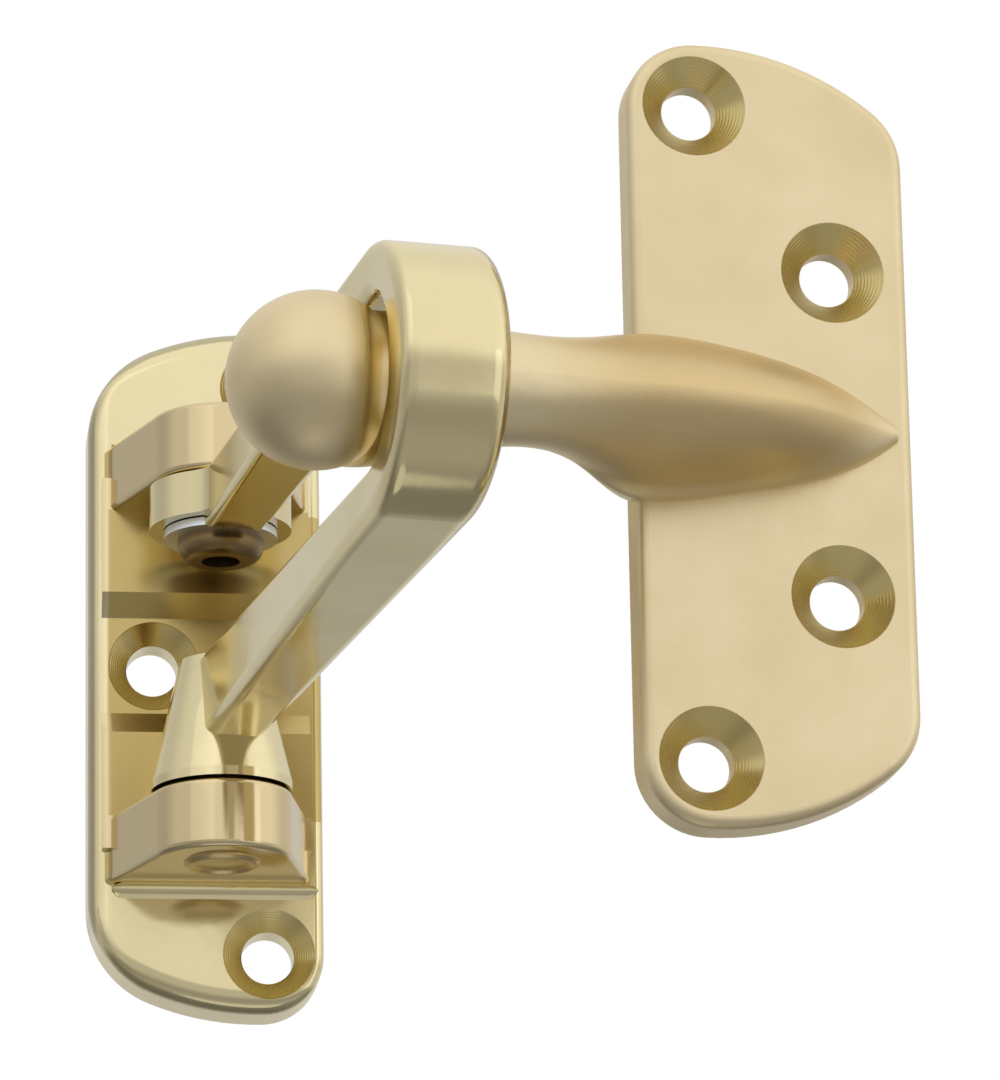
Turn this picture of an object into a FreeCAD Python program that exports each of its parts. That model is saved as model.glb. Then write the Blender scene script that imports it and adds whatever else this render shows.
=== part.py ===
import FreeCAD, Part
import math
import os

import Sketcher

V = FreeCAD.Vector

# Sizes in millimetres and degrees
SIZES = {
    # hinge plate on the frame
    "frame_thick": 5.2,
    "frame_width": 23.2,
    "frame_side_high": 59.2,
    "frame_inner_high": 68.8,
    "frame_big_round": 10.0,
    "frame_small_round": 6.0,
    "frame_edge_round": 1.0,
    "frame_end_curve": 28.0,
    "frame_hole": 5.2,
    "frame_sink": 9.1,
    "frame_mid_hole_x": 5.15,
    "frame_end_hole_x": 6.15,
    "frame_end_hole_z": 29.2,
    # pivot ears
    "hinge_x": 0.85,
    "ear_thick": 6.85,
    "ear_radius": 6.9,
    "ear_base": 21.9,
    "ear_soft": 0.6,
    "root_step": 1.5,
    "root_width": 20.6,
    "root_inner": 4.9,
    "root_slope": 2.3,
    # swing bar
    "bar_angle": 10.0,
    "bar_lift": 3.55,
    "bar_length": 83.2,
    "bar_hinge_up": 12.7,
    "bar_hinge_down": 15.0,
    "bar_nose_radius": 12.6,
    "nose_thick": 4.5,
    "slot_hinge": 11.9,
    "bar_hinge_width": 5.6,
    "bar_nose_width": 10.4,
    "bar_soft": 1.2,
    "slot_soft": 0.8,
    "eye_radius": 7.0,
    "eye_gap": 1.1,
    "eye_high": 4.3,
    "eye_rise": 1.6,
    "boss_radius": 6.9,
    "boss_neck": 4.1,
    "boss_rim": 0.9,
    "boss_bore": 6.0,
    "boss_cap": 0.4,
    "spot_gap": 0.5,
    "eye_flare": 4.0,
    "side_gap": 0.2,
    "ear_relief": 1.6,
    # pivots
    "pin_radius": 2.7,
    "pin_fit": 0.06,
    "head_radius": 3.75,
    "head_high": 0.7,
    "curl_radius": 4.2,
    "curl_high": 2.2,
    "curl_bore": 1.9,
    "curl_depth": 3.6,
    "washer_radius": 5.6,
    "washer_thick": 0.8,
    "washer_gap": 0.1,
    # ball plate on the door
    "ball_plate_thick": 4.1,
    "ball_plate_width": 25.8,
    "ball_plate_inner_high": 72.6,
    "ball_plate_side_high": 58.4,
    "ball_plate_big_round": 7.0,
    "ball_plate_small_round": 6.5,
    "ball_plate_edge_round": 1.0,
    "ball_plate_end_curve": 26.0,
    "ball_hole": 5.1,
    "ball_sink": 9.7,
    "ball_end_hole_x": 6.7,
    "ball_end_hole_z": 31.0,
    "ball_side_hole_x": 5.9,
    "ball_side_hole_z": 15.45,
    # ball and horn
    "ball_radius": 8.0,
    "ball_nest": 4.0,
    "ball_reach": 43.7,
    "ball_out": 8.1,
    "catch_gap": 4.0,
    "neck_radius": 4.8,
    "neck_end": 17.5,
    "door_angle": 5.0,
    "horn_bend": 7.0,
    "horn_bend_half": 5.4,
    "horn_bend_out": 6.2,
    "horn_bend_axis": 6.3,
    "horn_root_half": 7.3,
    "horn_root_out": 9.8,
    "horn_root_axis": 1.7,
    "horn_mid": 3.4,
    "horn_mid_half": 6.3,
    "horn_mid_out": 8.6,
    "horn_mid_axis": 1.2,
    "horn_low": 4.6,
    "horn_low_half": 4.4,
    "horn_low_out": 5.0,
    "horn_low_axis": 0.5,
    "horn_tip": 11.4,
    "horn_tip_half": 0.7,
}

doc = FreeCAD.newDocument("swing_bar_door_guard")
sheet = doc.addObject("Spreadsheet::Sheet", "Sheet")
for row, (alias, number) in enumerate(SIZES.items(), 1):
    sheet.set(f"A{row}", alias)
    sheet.set(f"B{row}", str(number))
    sheet.setAlias(f"B{row}", alias)
doc.recompute()

# Half angle of the screw heads
SINK_SLOPE = 45

# Sizes that follow from others
HINGE_OUT = "(Sheet.frame_thick + Sheet.root_step + Sheet.eye_radius + Sheet.eye_gap)"
EYE_LOW = "(Sheet.bar_lift + Sheet.slot_hinge / 2 + Sheet.eye_rise)"
EAR_IN = f"({EYE_LOW} + Sheet.eye_high + Sheet.side_gap)"
SLOT_NOSE_RADIUS = "(Sheet.bar_nose_radius - Sheet.nose_thick)"
BALL_S = "(Sheet.bar_length - Sheet.nose_thick - Sheet.neck_radius - Sheet.catch_gap)"
BALL_SIDE = "(Sheet.bar_nose_width / 2 + Sheet.ball_radius - Sheet.ball_nest)"
BALL_X = f"(Sheet.hinge_x + {BALL_S} * sin(Sheet.bar_angle) - {BALL_SIDE} * cos(Sheet.bar_angle))"
BALL_Y = f"(-{HINGE_OUT} - {BALL_S} * cos(Sheet.bar_angle) - {BALL_SIDE} * sin(Sheet.bar_angle))"


def value(expression):
    """Number that a sheet expression gives."""
    return float(sheet.evalExpression(expression.replace("Sheet.", "")))


def plane(body, role):
    """Origin plane of a body."""
    return next(f for f in body.Origin.OriginFeatures if f.Role == role)


def new_body(name):
    """Empty body with the node's name as label."""
    body = doc.addObject("PartDesign::Body", name)
    body.Label = name
    return body


def new_sketch(body, name, role, offset=None):
    """Sketch on an origin plane, moved along its normal by an expression."""
    sketch = body.newObject("Sketcher::SketchObject", name)
    sketch.AttachmentSupport = [(plane(body, role), "")]
    sketch.MapMode = "FlatFace"
    if offset:
        sketch.AttachmentOffset = FreeCAD.Placement(V(0, 0, value(offset)), FreeCAD.Rotation())
        sketch.setExpression("AttachmentOffset.Base.z", offset)
    return sketch


def dim(sketch, kind, refs, name, expression):
    """Named dimension bound to the sheet."""
    index = sketch.addConstraint(Sketcher.Constraint(kind, *refs, value(expression)))
    sketch.renameConstraint(index, name)
    sketch.setExpression(f"Constraints.{name}", expression)


def rule(sketch, kind, *refs):
    """Geometric constraint."""
    sketch.addConstraint(Sketcher.Constraint(kind, *refs))


def polygon(sketch, points):
    """Closed chain of lines, returns their indices."""
    lines = []
    for start, end in zip(points, points[1:] + points[:1]):
        lines.append(sketch.addGeometry(Part.LineSegment(V(*start, 0), V(*end, 0)), False))
    for first, second in zip(lines, lines[1:] + lines[:1]):
        rule(sketch, "Coincident", first, 2, second, 1)
    return lines


def circle_arc(sketch, centre_xy, radius_now, first, last):
    """Arc from one angle to another, counterclockwise."""
    circle = Part.Circle(V(*centre_xy, 0), V(0, 0, 1), radius_now)
    return sketch.addGeometry(Part.ArcOfCircle(circle, first, last), False)


def place(sketch, geo, pos, name, x=None, y=None):
    """Fixes a point by distances from the origin, given as positive expressions with a sign."""
    for kind, entry, tag in (("DistanceX", x, "x"), ("DistanceY", y, "y")):
        if entry is None:
            continue
        sign, expression = entry
        refs = (-1, 1, geo, pos) if sign > 0 else (geo, pos, -1, 1)
        dim(sketch, kind, refs, f"{name}_{tag}", expression)


def pad(body, sketch, name, length, symmetric=False, reverse=False):
    """Pad with its length bound to the sheet."""
    feature = body.newObject("PartDesign::Pad", name)
    feature.Profile = sketch
    feature.Midplane = symmetric
    feature.Reversed = reverse
    feature.setExpression("Length", length)
    doc.recompute()
    return feature


def pocket(body, sketch, name, length=None, symmetric=False, reverse=False):
    """Pocket of a given length, or through all; it has to take material away."""
    before = body.Shape.Volume
    feature = body.newObject("PartDesign::Pocket", name)
    feature.Profile = sketch
    feature.Midplane = symmetric
    feature.Reversed = reverse
    if length:
        feature.setExpression("Length", length)
    else:
        feature.Type = "ThroughAll"
    doc.recompute()
    if body.Shape.Volume > before - 1e-3:
        raise RuntimeError(f"{name} cuts nothing")
    return feature


def edges_where(body, test):
    """Names of the body's edges that pass a test."""
    edges = enumerate(body.Shape.Edges, 1)
    return [f"Edge{i}" for i, edge in edges if not edge.Degenerated and test(edge)]


def round_edges(body, name, edges, radius):
    """Fillet with its radius bound to the sheet."""
    base = body.Tip
    feature = body.newObject("PartDesign::Fillet", name)
    feature.Base = (base, edges)
    feature.setExpression("Radius", radius)
    body.Tip = feature
    doc.recompute()
    return feature


def along(edge, axis):
    """True for a straight edge parallel to an axis."""
    if edge.Curve.TypeId != "Part::GeomLine":
        return False
    return abs(edge.Curve.Direction.normalize().dot(axis)) > 0.999


def flat_at(edge, coordinate, level):
    """True for an edge that lies in a plane across an axis."""
    points = [vertex.Point for vertex in edge.Vertexes] + [edge.CenterOfMass]
    return all(abs(point[coordinate] - level) < 1e-4 for point in points)


def tangent_angle(centre, point, radius, side):
    """Angle on a circle where a tangent from a point touches it."""
    towards = math.atan2(point[1] - centre[1], point[0] - centre[0])
    reach = math.hypot(point[0] - centre[0], point[1] - centre[1])
    return towards + side * math.acos(radius / reach)


def plate(body, prefix, left, right, radii):
    """Plate with straight sides, bowed ends, round corners and a soft front edge."""
    half = f"Sheet.{prefix}_width / 2"
    thick = f"Sheet.{prefix}_thick"
    curve = f"Sheet.{prefix}_end_curve"
    sketch = new_sketch(body, f"{prefix}_outline", "XZ_Plane")
    wide = value(half)
    tall_left = value(left) / 2
    tall_right = value(right) / 2
    radius_now = value(curve)
    chord = math.hypot(2 * wide, tall_right - tall_left)
    drop = math.sqrt(radius_now ** 2 - chord ** 2 / 4)
    middle = (-drop * (tall_left - tall_right) / chord, (tall_left + tall_right) / 2 - drop * 2 * wide / chord)
    left_end = math.atan2(tall_left - middle[1], -wide - middle[0])
    right_end = math.atan2(tall_right - middle[1], wide - middle[0])
    left_line = sketch.addGeometry(Part.LineSegment(V(-wide, -tall_left, 0), V(-wide, tall_left, 0)), False)
    right_line = sketch.addGeometry(Part.LineSegment(V(wide, tall_right, 0), V(wide, -tall_right, 0)), False)
    top = circle_arc(sketch, middle, radius_now, right_end, left_end)
    foot = circle_arc(sketch, (middle[0], -middle[1]), radius_now, -left_end, -right_end)
    rule(sketch, "Coincident", left_line, 2, top, 2)
    rule(sketch, "Coincident", top, 1, right_line, 1)
    rule(sketch, "Coincident", right_line, 2, foot, 2)
    rule(sketch, "Coincident", foot, 1, left_line, 1)
    rule(sketch, "Symmetric", left_line, 1, left_line, 2, -1)
    rule(sketch, "Symmetric", right_line, 1, right_line, 2, -1)
    place(sketch, left_line, 1, "left", x=(-1, half))
    place(sketch, right_line, 1, "right", x=(1, half))
    dim(sketch, "DistanceY", (left_line, 1, left_line, 2), "left_high", left)
    dim(sketch, "DistanceY", (right_line, 2, right_line, 1), "right_high", right)
    dim(sketch, "Radius", (top,), "top_curve", curve)
    dim(sketch, "Radius", (foot,), "foot_curve", curve)
    pad(body, sketch, f"{prefix}_slab", thick)
    for name, sign, radius in (("left", -1, radii[0]), ("right", 1, radii[1])):
        corner = edges_where(body, lambda e: along(e, V(0, 1, 0)) and e.CenterOfMass.x * sign > wide - 1e-3)
        round_edges(body, f"{prefix}_{name}_corners", corner, radius)
    rim = edges_where(body, lambda e: flat_at(e, 1, -value(thick)))
    round_edges(body, f"{prefix}_front_edge", rim, f"Sheet.{prefix}_edge_round")


def hole_circles(body, name, spots, diameter, offset=None):
    """Sketch of circles at the screw spots."""
    sketch = new_sketch(body, name, "XZ_Plane", offset)
    for number, (x, z) in enumerate(spots):
        centre = V(x[0] * value(x[1]), z[0] * value(z[1]) if z else 0, 0)
        circle = sketch.addGeometry(Part.Circle(centre, V(0, 0, 1), value(diameter) / 2), False)
        dim(sketch, "Diameter", (circle,), f"hole_{number}", diameter)
        place(sketch, circle, 3, f"spot_{number}", x=x, y=z)
        if not z:
            rule(sketch, "PointOnObject", circle, 3, -1)
    return sketch


def screw_holes(body, prefix, spots, hole, sink, thick):
    """Screw holes through a plate with conical sinks for the screw heads."""
    pocket(body, hole_circles(body, f"{prefix}_holes", spots, hole), f"{prefix}_drilling", reverse=True)
    mouths = hole_circles(body, f"{prefix}_sink_mouths", spots, sink, thick)
    cones = pocket(body, mouths, f"{prefix}_sinks", f"({sink} - {hole}) / 2")
    cones.TaperAngle = -SINK_SLOPE
    doc.recompute()


# Hinge plate on the frame: a flat plate with two ears joined to it
slab = new_body("frame_slab_body")
FACE = "Sheet.frame_thick"
plate(
    slab,
    "frame",
    "Sheet.frame_side_high",
    "Sheet.frame_inner_high",
    ("Sheet.frame_big_round", "Sheet.frame_small_round"),
)
screw_holes(
    slab,
    "frame",
    [
        ((-1, "Sheet.frame_mid_hole_x"), None),
        ((1, "Sheet.frame_end_hole_x"), (1, "Sheet.frame_end_hole_z")),
        ((1, "Sheet.frame_end_hole_x"), (-1, "Sheet.frame_end_hole_z")),
    ],
    "Sheet.frame_hole",
    "Sheet.frame_sink",
    FACE,
)

# Pivot ear: tapered bracket with a round end about the hinge line
lug = new_body("ear_body")
ear = new_sketch(lug, "ear_profile", "XY_Plane", EAR_IN)
face_y = -value(FACE)
half_base = value("Sheet.ear_base") / 2
centre = (value("Sheet.hinge_x"), -value(HINGE_OUT))
radius = value("Sheet.ear_radius")
feet = [(-half_base, face_y / 2), (half_base, face_y / 2)]
start = tangent_angle(centre, feet[0], radius, 1) % (2 * math.pi)
end = tangent_angle(centre, feet[1], radius, -1) % (2 * math.pi)
touch = [(centre[0] + radius * math.cos(a), centre[1] + radius * math.sin(a)) for a in (start, end)]
sides = [(feet[0], touch[0]), (touch[1], feet[1]), (feet[1], feet[0])]
left_side, right_side, ear_back = [
    ear.addGeometry(Part.LineSegment(V(*p, 0), V(*q, 0)), False) for p, q in sides
]
ear_arc = circle_arc(ear, centre, radius, start, end)
rule(ear, "Tangent", left_side, 2, ear_arc, 1)
rule(ear, "Tangent", ear_arc, 2, right_side, 1)
rule(ear, "Coincident", right_side, 2, ear_back, 1)
rule(ear, "Coincident", ear_back, 2, left_side, 1)
dim(ear, "Radius", (ear_arc,), "end_radius", "Sheet.ear_radius")
place(ear, ear_arc, 3, "pivot", x=(1, "Sheet.hinge_x"), y=(-1, HINGE_OUT))
place(ear, left_side, 1, "left_foot", x=(-1, "Sheet.ear_base / 2"), y=(-1, f"{FACE} / 2"))
place(ear, right_side, 2, "right_foot", x=(1, "Sheet.ear_base / 2"), y=(-1, f"{FACE} / 2"))
pad(lug, ear, "ear", "Sheet.ear_thick")
soft = edges_where(lug, lambda e: not along(e, V(0, 0, 1)) and e.CenterOfMass.y < face_y - 0.1)
round_edges(lug, "ear_rims", soft, "Sheet.ear_soft")

# Pin hole through the ear
pin_hole = new_sketch(lug, "pin_hole", "XY_Plane")
pin_circle = pin_hole.addGeometry(Part.Circle(V(*centre, 0), V(0, 0, 1), value("Sheet.pin_radius")), False)
dim(pin_hole, "Radius", (pin_circle,), "pin", "Sheet.pin_radius")
place(pin_hole, pin_circle, 3, "pivot", x=(1, "Sheet.hinge_x"), y=(-1, HINGE_OUT))
pocket(lug, pin_hole, "pin_drilling", symmetric=True)

# Raised root between the ear and the middle hole
root = new_sketch(lug, "root_profile", "YZ_Plane")
step_y = face_y - value("Sheet.root_step")
inner_z = value("Sheet.root_inner")
upper_z = inner_z + value("Sheet.root_slope")
end_z = value(EAR_IN) + value("Sheet.ear_thick") / 2
chain = polygon(
    root,
    [(face_y / 2, inner_z), (face_y, inner_z), (step_y, upper_z), (step_y, end_z), (face_y / 2, end_z)],
)
rule(root, "Horizontal", chain[0])
rule(root, "Vertical", chain[2])
rule(root, "Horizontal", chain[3])
rule(root, "Vertical", chain[4])
place(root, chain[0], 1, "inside", x=(-1, f"{FACE} / 2"), y=(1, "Sheet.root_inner"))
place(root, chain[0], 2, "foot", x=(-1, FACE))
place(
    root,
    chain[1],
    2,
    "step",
    x=(-1, f"{FACE} + Sheet.root_step"),
    y=(1, "Sheet.root_inner + Sheet.root_slope"),
)
place(root, chain[2], 2, "end", y=(1, f"{EAR_IN} + Sheet.ear_thick / 2"))
pad(lug, root, "ear_root", "Sheet.root_width", symmetric=True)

lower_lug = doc.addObject("Part::Mirroring", "lower_ear")
lower_lug.Source = lug
lower_lug.Normal = V(0, 0, 1)
frame = doc.addObject("Part::MultiFuse", "frame_plate")
frame.Shapes = [slab, lug, lower_lug]
frame.Refine = True
frame.Label = "frame_plate"
doc.recompute()

# Swing bar, drawn along -Y from its hinge line and then turned about it
bar = new_body("swing_bar")
side = new_sketch(bar, "bar_side", "YZ_Plane")
lift = value("Sheet.bar_lift")
outer = value("Sheet.bar_nose_radius")
inner = value(SLOT_NOSE_RADIUS)
nose_y = -(value("Sheet.bar_length") - outer)
up = value("Sheet.bar_hinge_up")
down = value("Sheet.bar_hinge_down")
slot = value("Sheet.slot_hinge") / 2
top_angle = tangent_angle((nose_y, lift), (0, lift + up), outer, 1)
low_angle = tangent_angle((nose_y, lift), (0, lift - down), outer, -1) % (2 * math.pi)
slot_angle = tangent_angle((nose_y, lift), (0, lift + slot), inner, 1)


def nose_arc(radius_now, first, last):
    """Round nose arc and its upper and lower ends."""
    geo = circle_arc(side, (nose_y, lift), radius_now, first, last)
    ends = [(nose_y + radius_now * math.cos(a), lift + radius_now * math.sin(a)) for a in (first, last)]
    return geo, *ends


outer_arc, outer_top, outer_low = nose_arc(outer, top_angle, low_angle)
inner_arc, inner_top, inner_low = nose_arc(inner, slot_angle, 2 * math.pi - slot_angle)
segments = [
    ((0, lift + up), outer_top),
    (outer_low, (0, lift - down)),
    ((0, lift - down), (0, lift - slot)),
    ((0, lift - slot), inner_low),
    (inner_top, (0, lift + slot)),
    ((0, lift + slot), (0, lift + up)),
]
legs = [side.addGeometry(Part.LineSegment(V(*p, 0), V(*q, 0)), False) for p, q in segments]
rule(side, "Tangent", legs[0], 2, outer_arc, 1)
rule(side, "Tangent", outer_arc, 2, legs[1], 1)
rule(side, "Coincident", legs[1], 2, legs[2], 1)
rule(side, "Coincident", legs[2], 2, legs[3], 1)
rule(side, "Tangent", legs[3], 2, inner_arc, 2)
rule(side, "Tangent", inner_arc, 1, legs[4], 1)
rule(side, "Coincident", legs[4], 2, legs[5], 1)
rule(side, "Coincident", legs[5], 2, legs[0], 1)
rule(side, "Coincident", inner_arc, 3, outer_arc, 3)
for leg in (legs[2], legs[5]):
    rule(side, "PointOnObject", leg, 1, -2)
    rule(side, "PointOnObject", leg, 2, -2)
dim(side, "Radius", (outer_arc,), "nose", "Sheet.bar_nose_radius")
dim(side, "Radius", (inner_arc,), "slot_end", SLOT_NOSE_RADIUS)
place(
    side,
    outer_arc,
    3,
    "nose_centre",
    x=(-1, "Sheet.bar_length - Sheet.bar_nose_radius"),
    y=(1, "Sheet.bar_lift"),
)
dim(side, "DistanceY", (legs[1], 2, legs[0], 1), "hinge_high", "Sheet.bar_hinge_up + Sheet.bar_hinge_down")
dim(side, "DistanceY", (legs[3], 1, legs[4], 2), "hinge_slot", "Sheet.slot_hinge")
place(side, legs[0], 1, "hinge_top", y=(1, "Sheet.bar_lift + Sheet.bar_hinge_up"))
place(side, legs[4], 2, "slot_top", y=(1, "Sheet.bar_lift + Sheet.slot_hinge / 2"))
pad(bar, side, "bar_blank", "Sheet.bar_nose_width", symmetric=True)

# Both sides taper from the nose to the hinge
narrow = value("Sheet.bar_hinge_width") / 2
broad = value("Sheet.bar_nose_width") / 2
length = value("Sheet.bar_length")
taper = new_sketch(bar, "bar_taper", "XY_Plane")
for tag, sign in (("right", 1), ("left", -1)):
    wedge = polygon(taper, [(sign * narrow, 0), (sign * broad, -length), (sign * 2 * broad, -length), (sign * 2 * broad, 0)])
    rule(taper, "Horizontal", wedge[1])
    rule(taper, "Vertical", wedge[2])
    rule(taper, "Horizontal", wedge[3])
    rule(taper, "PointOnObject", wedge[0], 1, -1)
    place(taper, wedge[0], 1, f"{tag}_hinge", x=(sign, "Sheet.bar_hinge_width / 2"))
    place(taper, wedge[0], 2, f"{tag}_nose", x=(sign, "Sheet.bar_nose_width / 2"), y=(-1, "Sheet.bar_length"))
    place(taper, wedge[2], 1, f"{tag}_outside", x=(sign, "Sheet.bar_nose_width"))
pocket(bar, taper, "bar_tapering", symmetric=True)

# Long edges are softened, more outside than in the slot
mid = nose_y


def on_loop(edge, slot_side):
    """True for a long edge on the slot side or the outer side of the loop."""
    point = edge.valueAt((edge.FirstParameter + edge.LastParameter) / 2)
    if point.y > mid / 4 or abs(point.x) < narrow * 0.5:
        return False
    if point.y < mid:
        reach = math.hypot(point.y - mid, point.z - lift)
        return (reach < (outer + inner) / 2) == slot_side
    share = point.y / mid
    border = (slot + min(up, down)) / 2 * (1 - share) + (outer + inner) / 2 * share
    return (abs(point.z - lift) < border) == slot_side


round_edges(bar, "bar_edges", edges_where(bar, lambda e: on_loop(e, False)), "Sheet.bar_soft")
round_edges(bar, "slot_edges", edges_where(bar, lambda e: on_loop(e, True)), "Sheet.slot_soft")


def hinge_disc(name, level, disc_radius):
    """Sketch of a circle about the hinge line at a height."""
    sketch = new_sketch(bar, name, "XY_Plane", level)
    circle = sketch.addGeometry(Part.Circle(V(0, 0, 0), V(0, 0, 1), value(disc_radius)), False)
    rule(sketch, "Coincident", circle, 3, -1, 1)
    dim(sketch, "Radius", (circle,), "disc", disc_radius)
    return sketch


def keyhole(name, level, eye):
    """Sketch of a round eye that flares into the width of its leg."""
    sketch = new_sketch(bar, name, "XY_Plane", level)
    eye_r = value(eye)
    flare_r = value("Sheet.eye_flare")
    flare_x = narrow + flare_r
    flare_y = -math.sqrt((eye_r + flare_r) ** 2 - flare_x ** 2)
    meet = math.atan2(-flare_y, flare_x)
    rim = circle_arc(sketch, (0, 0), eye_r, -meet, math.pi + meet)
    right = circle_arc(sketch, (flare_x, flare_y), flare_r, math.pi - meet, math.pi)
    left = circle_arc(sketch, (-flare_x, flare_y), flare_r, 0, meet)
    across = sketch.addGeometry(Part.LineSegment(V(-narrow, flare_y, 0), V(narrow, flare_y, 0)), False)
    rule(sketch, "Coincident", rim, 3, -1, 1)
    rule(sketch, "Tangent", rim, 1, right, 1)
    rule(sketch, "Tangent", rim, 2, left, 2)
    rule(sketch, "Coincident", left, 1, across, 1)
    rule(sketch, "Coincident", across, 2, right, 2)
    rule(sketch, "Perpendicular", left, across)
    rule(sketch, "Perpendicular", right, across)
    rule(sketch, "Horizontal", across)
    dim(sketch, "Radius", (rim,), "eye", eye)
    dim(sketch, "Radius", (left,), "left_flare", "Sheet.eye_flare")
    dim(sketch, "Radius", (right,), "right_flare", "Sheet.eye_flare")
    place(sketch, across, 2, "leg", x=(1, "Sheet.bar_hinge_width / 2"))
    return sketch


# Upper leg is cut round where the ear and the washer turn
ear_room = hinge_disc("ear_room", f"{EAR_IN} - Sheet.side_gap", "Sheet.ear_radius + Sheet.ear_relief")
pocket(bar, ear_room, "ear_clearing", "Sheet.bar_hinge_up", reverse=True)
washer_room = hinge_disc("washer_room", EYE_LOW, "Sheet.washer_radius + Sheet.spot_gap")
pocket(bar, washer_room, "washer_clearing", "2 * Sheet.eye_rise")

# Upper eye is a flat disc, the lower one a boss that widens to its foot
pad(bar, keyhole("eye_outline", EYE_LOW, "Sheet.eye_radius"), "upper_eye", "Sheet.eye_high")
flared = new_sketch(bar, "boss_profile", "XZ_Plane")
foot_z = -value(EAR_IN) + value("Sheet.side_gap")
rim_z = foot_z + value("Sheet.boss_rim")
head_z = lift - slot
foot_r = value("Sheet.boss_radius")
neck_r = value("Sheet.boss_neck")
stops = [(foot_r, rim_z), (foot_r, foot_z), (0, foot_z), (0, head_z), (neck_r, head_z)]
edges = polygon(flared, stops)
rule(flared, "Vertical", edges[0])
rule(flared, "Horizontal", edges[1])
rule(flared, "PointOnObject", edges[2], 1, -2)
rule(flared, "PointOnObject", edges[2], 2, -2)
rule(flared, "Horizontal", edges[3])
place(flared, edges[0], 2, "foot", x=(1, "Sheet.boss_radius"), y=(-1, f"{EAR_IN} - Sheet.side_gap"))
place(flared, edges[3], 2, "neck", x=(1, "Sheet.boss_neck"))
dim(flared, "DistanceY", (edges[0], 2, edges[0], 1), "rim", "Sheet.boss_rim")
dim(
    flared,
    "DistanceY",
    (edges[2], 1, edges[2], 2),
    "tall",
    f"Sheet.bar_lift - Sheet.slot_hinge / 2 + {EAR_IN} - Sheet.side_gap",
)
boss = bar.newObject("PartDesign::Revolution", "lower_boss")
boss.Profile = flared
boss.ReferenceAxis = (flared, ["V_Axis"])
boss.Angle = 360
doc.recompute()
PIN_HOLE = "Sheet.pin_radius + Sheet.pin_fit"
pocket(bar, hinge_disc("eye_bore", EYE_LOW, PIN_HOLE), "eye_boring", "Sheet.eye_high", reverse=True)
boss_bore = hinge_disc("boss_bore", f"-({EAR_IN} - Sheet.side_gap)", PIN_HOLE)
pocket(bar, boss_bore, "boss_boring", "Sheet.boss_bore", reverse=True)
bar.Placement = FreeCAD.Placement(V(0, 0, 0), FreeCAD.Rotation(V(0, 0, 1), value("Sheet.bar_angle")))
bar.setExpression("Placement.Base.x", "Sheet.hinge_x")
bar.setExpression("Placement.Base.y", f"-{HINGE_OUT}")
bar.setExpression("Placement.Rotation.Angle", "Sheet.bar_angle")

# Ball plate on the door
catch = new_body("ball_plate")
plate(
    catch,
    "ball_plate",
    "Sheet.ball_plate_inner_high",
    "Sheet.ball_plate_side_high",
    ("Sheet.ball_plate_small_round", "Sheet.ball_plate_big_round"),
)


def horn_section(name, sign, along_x, axis_out, half_out, half_z):
    """Elliptic section of the horn across the plate's X axis."""
    sketch = new_sketch(catch, name, "YZ_Plane", f"{sign}({along_x})")
    centre_y = -(value("Sheet.ball_plate_thick") + value(axis_out))
    major = V(centre_y - value(half_out), 0, 0)
    minor = V(centre_y, value(half_z), 0)
    oval = sketch.addGeometry(Part.Ellipse(major, minor, V(centre_y, 0, 0)), False)
    sketch.exposeInternalGeometry(oval)
    rule(sketch, "PointOnObject", oval, 3, -1)
    place(sketch, oval, 3, "axis", x=(-1, f"Sheet.ball_plate_thick + {axis_out}"))
    rule(sketch, "Horizontal", oval + 1)
    dim(sketch, "Distance", (oval + 1,), "tall", f"2 * ({half_out})")
    dim(sketch, "Distance", (oval + 2,), "wide", f"2 * ({half_z})")
    return sketch


# Horn: grows from a point on the face, flares at the plate's edge and runs out as a round neck
EDGE = "Sheet.ball_plate_width / 2"
sections = [
    horn_section("neck_start", "-", "Sheet.ball_reach", "Sheet.ball_out", "Sheet.neck_radius + 0.02",
                 "Sheet.neck_radius"),
    horn_section("neck_end", "-", "Sheet.ball_reach - Sheet.neck_end", "Sheet.ball_out",
                 "Sheet.neck_radius + 0.4", "Sheet.neck_radius + 0.3"),
    horn_section("horn_bend", "-", f"{EDGE} + Sheet.horn_bend", "Sheet.horn_bend_axis",
                 "Sheet.horn_bend_out", "Sheet.horn_bend_half"),
    horn_section("horn_root", "-", f"{EDGE}", "Sheet.horn_root_axis", "Sheet.horn_root_out",
                 "Sheet.horn_root_half"),
    horn_section("horn_middle", "-", "Sheet.horn_mid", "Sheet.horn_mid_axis", "Sheet.horn_mid_out",
                 "Sheet.horn_mid_half"),
    horn_section("horn_low", "", "Sheet.horn_low", "Sheet.horn_low_axis", "Sheet.horn_low_out",
                 "Sheet.horn_low_half"),
    horn_section("horn_point", "", "Sheet.horn_tip", "0", "Sheet.horn_tip_half + 0.05", "Sheet.horn_tip_half"),
]
horn = catch.newObject("PartDesign::AdditiveLoft", "horn")
horn.Profile = sections[0]
horn.Sections = sections[1:]
horn.Ruled = False
doc.recompute()

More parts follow.
